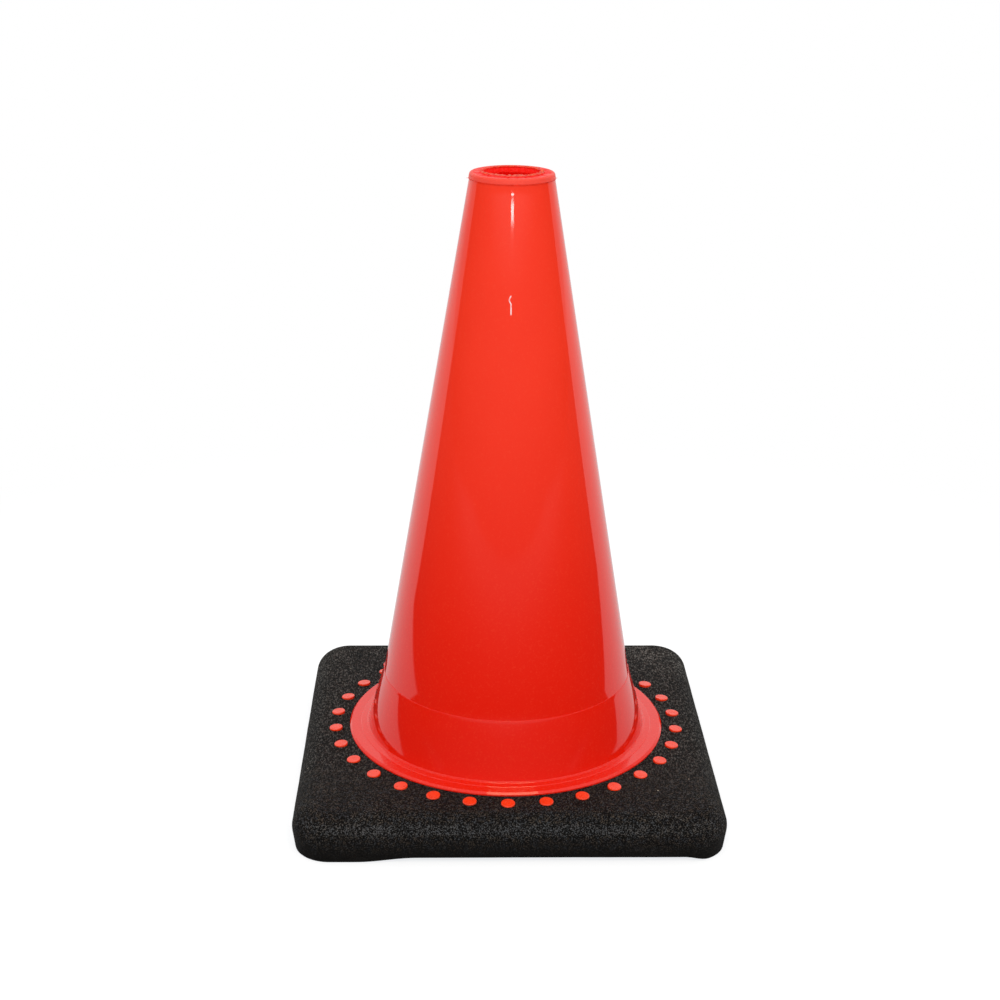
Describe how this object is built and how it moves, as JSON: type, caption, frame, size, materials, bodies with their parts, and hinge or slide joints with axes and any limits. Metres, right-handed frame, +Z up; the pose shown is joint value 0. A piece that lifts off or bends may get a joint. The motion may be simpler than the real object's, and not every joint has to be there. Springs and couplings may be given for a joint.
{
  "type": "traffic cone",
  "caption": "Glossy orange hollow safety cone with a top hole, locked through a square black weighted base by a ring and pegs.",
  "frame": {"origin": "centre of the footprint on the floor", "axes": "+Z up along the cone's axis; +X and +Y square to the sides of the base, -Y towards the front"},
  "size_m": [0.2062, 0.2062, 0.3056],
  "materials": {
    "cone_plastic": "glossy orange-red vinyl",
    "base_rubber": "matt black recycled vinyl with a fine grain",
    "lock_plastic": "satin orange-red vinyl"
  },
  "bodies": {
    "root": {"cone_body": "cone_plastic", "base": "base_rubber", "locking_ring": "lock_plastic", "locking_peg_01": "lock_plastic", "locking_peg_02": "lock_plastic", "locking_peg_03": "lock_plastic", "locking_peg_04": "lock_plastic", "locking_peg_05": "lock_plastic", "locking_peg_06": "lock_plastic", "locking_peg_07": "lock_plastic", "locking_peg_08": "lock_plastic", "locking_peg_09": "lock_plastic", "locking_peg_10": "lock_plastic", "locking_peg_11": "lock_plastic", "locking_peg_12": "lock_plastic", "locking_peg_13": "lock_plastic", "locking_peg_14": "lock_plastic", "locking_peg_15": "lock_plastic", "locking_peg_16": "lock_plastic", "locking_peg_17": "lock_plastic", "locking_peg_18": "lock_plastic", "locking_peg_19": "lock_plastic", "locking_peg_20": "lock_plastic", "locking_peg_21": "lock_plastic", "locking_peg_22": "lock_plastic", "locking_peg_23": "lock_plastic", "locking_peg_24": "lock_plastic", "locking_peg_25": "lock_plastic", "locking_peg_26": "lock_plastic", "locking_peg_27": "lock_plastic", "locking_peg_28": "lock_plastic", "locking_peg_29": "lock_plastic", "locking_peg_30": "lock_plastic"}
  },
  "joints": []
}
